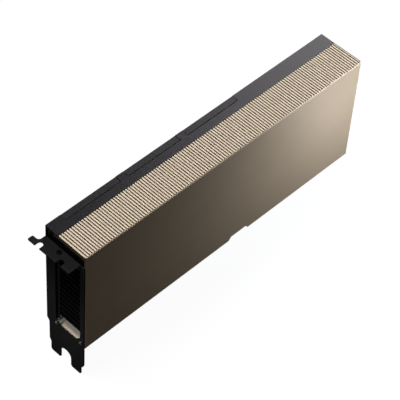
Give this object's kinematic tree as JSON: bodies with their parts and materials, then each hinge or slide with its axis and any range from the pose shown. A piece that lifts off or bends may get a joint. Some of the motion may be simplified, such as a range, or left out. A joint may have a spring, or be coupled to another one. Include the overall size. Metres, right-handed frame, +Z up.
{
  "type": "passive accelerator card",
  "caption": "Full-length two-slot passive accelerator card with a ribbed champagne cover, vented black bracket, finned heat sink and tail power inlet.",
  "frame": {"origin": "the edge connector's key slot: middle of the slot along the card, middle of the board's thickness, lower edge of the contact tongue", "axes": "+X along the card from the bracket to the tail, +Y from the coloured front face to the back, +Z up from the contacts to the ribbed top edge"},
  "size_m": [0.2791, 0.0431, 0.1287],
  "materials": {
    "gold_cover": "satin anodised, warm champagne",
    "black_steel": "matt black powder coat on folded steel",
    "black_plate": "matt black anodised sheet",
    "black_moulding": "fine-grained black moulding",
    "cap_moulding": "smooth black moulding",
    "board": "black solder mask over fibre laminate",
    "contact_gold": "hard gold plate",
    "carrier": "green organic carrier",
    "stiffener": "nickel plated",
    "silicon": "polished silicon",
    "memory": "moulded silicon stack",
    "heat_pad": "soft grey filled silicone",
    "heatsink_metal": "plain machined",
    "fin_metal": "dark oxidised thin sheet",
    "chip_body": "moulded epoxy",
    "inductor_body": "pressed iron powder",
    "capacitor_body": "moulded polymer capacitor",
    "ceramic": "ceramic chip capacitor",
    "spring_steel": "plain spring steel",
    "screw_black": "black oxide",
    "screw_bright": "nickel plated",
    "connector_body": "glass-filled nylon",
    "pin_metal": "tin plate"
  },
  "bodies": {
    "root": {"bracket": "black_steel", "front_cover": "gold_cover", "top_rail": "black_moulding", "backplate": "black_plate", "circuit_board": "board", "edge_contacts_front": "contact_gold", "edge_contacts_back": "contact_gold", "package_substrate": "carrier", "package_frame": "stiffener", "processor_die": "silicon", "memory_stacks": "memory", "die_interface": "heat_pad", "heatsink_base": "heatsink_metal", "top_fin": "heatsink_metal", "power_stages": "chip_body", "stage_pads": "heat_pad", "inductors": "inductor_body", "inductor_pads": "heat_pad", "bulk_capacitors": "capacitor_body", "control_chips": "chip_body", "back_capacitors": "ceramic", "retention_plate": "spring_steel", "retention_screws": "screw_bright", "power_inlet": "connector_body", "inlet_pins": "pin_metal", "tail_plate": "black_plate", "tail_screws": "screw_black", "bracket_screws": "screw_bright", "lug_screw": "screw_black", "lug_nut": "screw_bright", "backplate_screws": "screw_black", "board_spacers": "screw_bright", "cover_screws": "screw_black", "bridge_cap_1": "cap_moulding", "bridge_cap_2": "cap_moulding", "bridge_cap_3": "cap_moulding", "fin_01": "fin_metal", "fin_02": "fin_metal", "fin_03": "fin_metal", "fin_04": "fin_metal", "fin_05": "fin_metal", "fin_06": "fin_metal", "fin_07": "fin_metal", "fin_08": "fin_metal", "fin_09": "fin_metal", "fin_10": "fin_metal", "fin_11": "fin_metal", "fin_12": "fin_metal", "fin_13": "fin_metal", "fin_14": "fin_metal", "fin_15": "fin_metal", "fin_16": "fin_metal", "fin_17": "fin_metal"}
  },
  "joints": []
}
